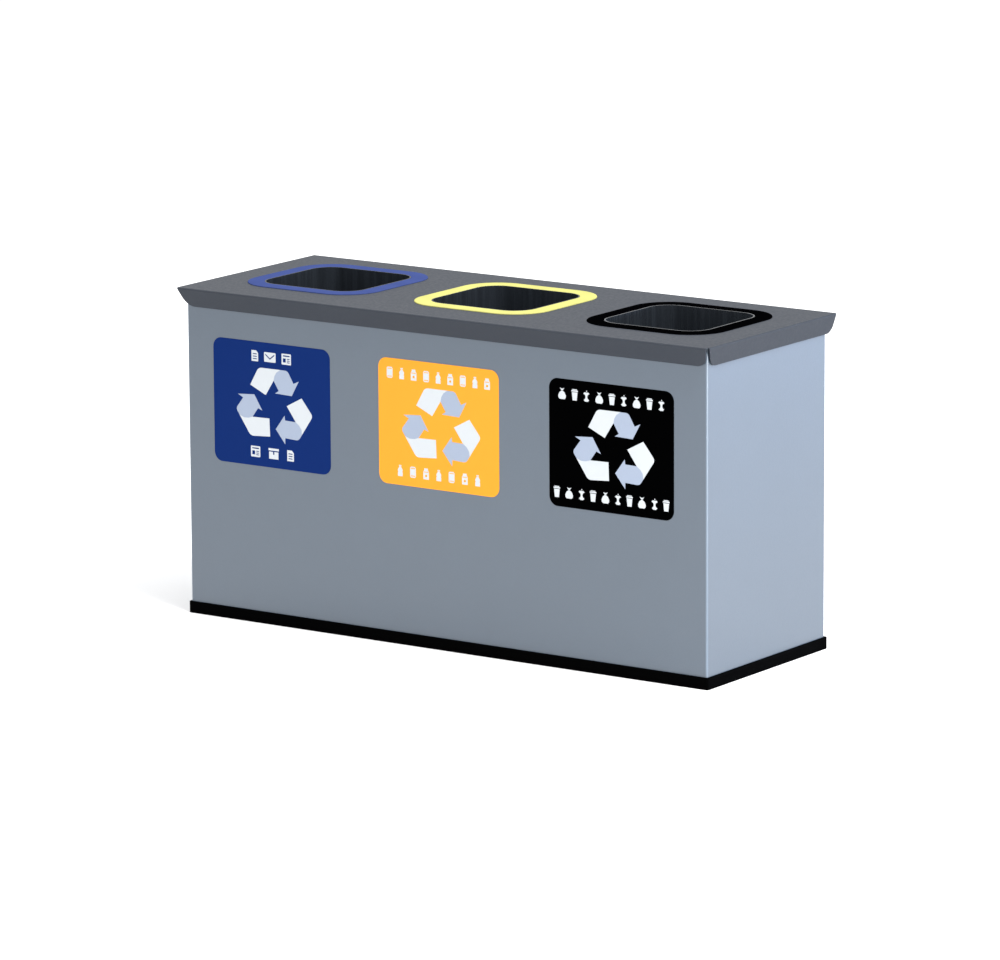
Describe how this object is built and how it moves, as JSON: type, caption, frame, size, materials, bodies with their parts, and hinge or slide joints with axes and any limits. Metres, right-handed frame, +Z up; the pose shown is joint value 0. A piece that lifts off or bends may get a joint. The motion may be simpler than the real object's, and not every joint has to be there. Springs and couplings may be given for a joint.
{
  "type": "litter bin",
  "caption": "Folded sheet-steel waste sorting bin with a lift-off lid, square mouths in coloured frames, plastic buckets inside and stickers on the front.",
  "frame": {"origin": "middle of the footprint, on the floor", "axes": "+X along the length, to the right seen from the front; -Y is the front with the stickers; +Z up"},
  "size_m": [0.7132, 0.263, 0.3782],
  "materials": {
    "body_paint": "fine-textured powder coat, blue-grey",
    "lid_paint": "fine-textured powder coat, darker grey",
    "edging_plastic": "black extruded plastic",
    "rivet_metal": "blind rivets, bare aluminium",
    "ring_blue": "moulded blue plastic, soft gloss",
    "ring_yellow": "moulded yellow plastic, soft gloss",
    "ring_black": "moulded black plastic, soft gloss",
    "throat_plastic": "moulded dark grey plastic, soft gloss",
    "bucket_plastic": "moulded dark grey plastic",
    "label_blue": "printed vinyl film, blue",
    "label_orange": "printed vinyl film, orange-yellow",
    "label_black": "printed vinyl film, black"
  },
  "bodies": {
    "bin": {"body_wrap": "body_paint", "rear_panel": "body_paint", "floor_pan": "body_paint", "divider_left": "body_paint", "divider_right": "body_paint", "base_edging_front": "edging_plastic", "base_edging_rear": "edging_plastic", "base_edging_left": "edging_plastic", "base_edging_right": "edging_plastic", "seam_rivets": "rivet_metal", "divider_rivets": "rivet_metal", "bucket_paper": "bucket_plastic", "bucket_metal_plastic": "bucket_plastic", "bucket_general": "bucket_plastic", "label_paper": "label_blue", "label_metal_plastic": "label_orange", "label_general": "label_black"},
    "lid": {"lid_panel": "lid_paint"},
    "paper_frame": {"ring_paper": "ring_blue", "throat_paper": "throat_plastic"},
    "metal_plastic_frame": {"ring_metal_plastic": "ring_yellow", "throat_metal_plastic": "throat_plastic"},
    "general_frame": {"ring_general": "ring_black", "throat_general": "throat_plastic"}
  },
  "joints": [
    {"name": "lid_lift", "type": "slide", "parent": "bin", "child": "lid", "axis": [0, 0, 1], "range_m": [0, 0.15]},
    {"name": "paper_frame_lift", "type": "slide", "parent": "lid", "child": "paper_frame", "axis": [0, 0, 1], "range_m": [0, 0.08]},
    {"name": "metal_plastic_frame_lift", "type": "slide", "parent": "lid", "child": "metal_plastic_frame", "axis": [0, 0, 1], "range_m": [0, 0.08]},
    {"name": "general_frame_lift", "type": "slide", "parent": "lid", "child": "general_frame", "axis": [0, 0, 1], "range_m": [0, 0.08]}
  ]
}
